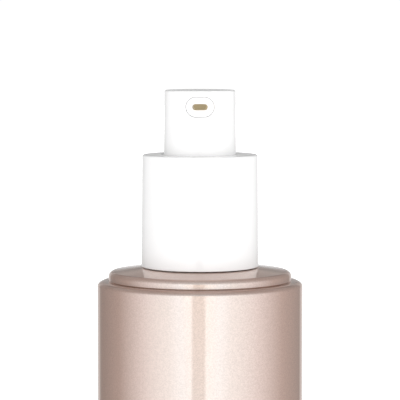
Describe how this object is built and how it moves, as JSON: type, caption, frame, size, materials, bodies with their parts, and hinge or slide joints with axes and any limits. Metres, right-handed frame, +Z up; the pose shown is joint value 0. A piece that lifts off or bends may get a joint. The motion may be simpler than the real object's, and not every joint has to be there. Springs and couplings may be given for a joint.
{
  "type": "foundation bottle",
  "caption": "Round coated glass foundation bottle with a stepped shoulder, a smooth white screw collar and a press-down treatment pump with a slotted spout.",
  "frame": {"origin": "centre of the ring the bottle stands on, in the plane of the surface under it", "axes": "+Z up along the bottle's axis; the spout faces -Y; +X is to the right of someone facing the spout"},
  "size_m": [0.037, 0.037, 0.0894],
  "materials": {
    "pearl_glass": "glossy rose-champagne pearl coat",
    "white_shell": "glossy white polypropylene",
    "white_inner": "plain white polypropylene",
    "natural_plastic": "milky uncoloured polypropylene",
    "soft_plastic": "waxy translucent polyethylene",
    "gasket_foam": "matt closed-cell foam",
    "spring_steel": "bright drawn stainless wire",
    "clear_glass": "clear polished"
  },
  "bodies": {
    "bottle_body": {"bottle": "pearl_glass"},
    "pump_engine": {"pump_housing": "natural_plastic", "housing_retainer": "natural_plastic", "neck_gasket": "gasket_foam", "dip_tube": "soft_plastic", "return_spring": "spring_steel"},
    "closure": {"screw_closure": "white_inner", "collar_sleeve": "white_shell"},
    "plunger": {"piston_seat": "natural_plastic"},
    "pump_head": {"stem": "natural_plastic", "actuator": "white_shell", "nozzle_insert": "white_shell"},
    "sliding_piston": {"piston": "soft_plastic"},
    "inlet_ball": {"check_ball": "clear_glass"}
  },
  "joints": [
    {"name": "pump_lift", "type": "slide", "parent": "bottle_body", "child": "pump_engine", "axis": [0, 0, 1], "range_m": [0, 0.00476]},
    {"name": "closure_turn", "type": "hinge", "parent": "pump_engine", "child": "closure", "pos_m": [0, 0, 0.06], "axis": [0, 0, 1], "range_deg": [0, 540]},
    {"name": "pump_press", "type": "slide", "parent": "pump_engine", "child": "plunger", "axis": [0, 0, -1], "range_m": [0, 0.004], "stiffness_N_per_m": 1500, "springref_m": -0.004, "deforming": ["return_spring"]},
    {"name": "head_turn", "type": "hinge", "parent": "plunger", "child": "pump_head", "pos_m": [0, 0, 0.085], "axis": [0, 0, 1], "continuous": true},
    {"name": "piston_slide", "type": "slide", "parent": "pump_engine", "child": "sliding_piston", "axis": [0, 0, -1], "range_m": [0, 0.0034]},
    {"name": "ball_lift", "type": "slide", "parent": "pump_engine", "child": "inlet_ball", "axis": [0, 0, 1], "range_m": [0, 0.0009]}
  ],
  "couplings": [
    {"joint": "closure_turn", "follows": "pump_lift", "rad_per_m": 1979},
    {"joint": "piston_slide", "follows": "pump_press", "ratio": 0.85}
  ]
}
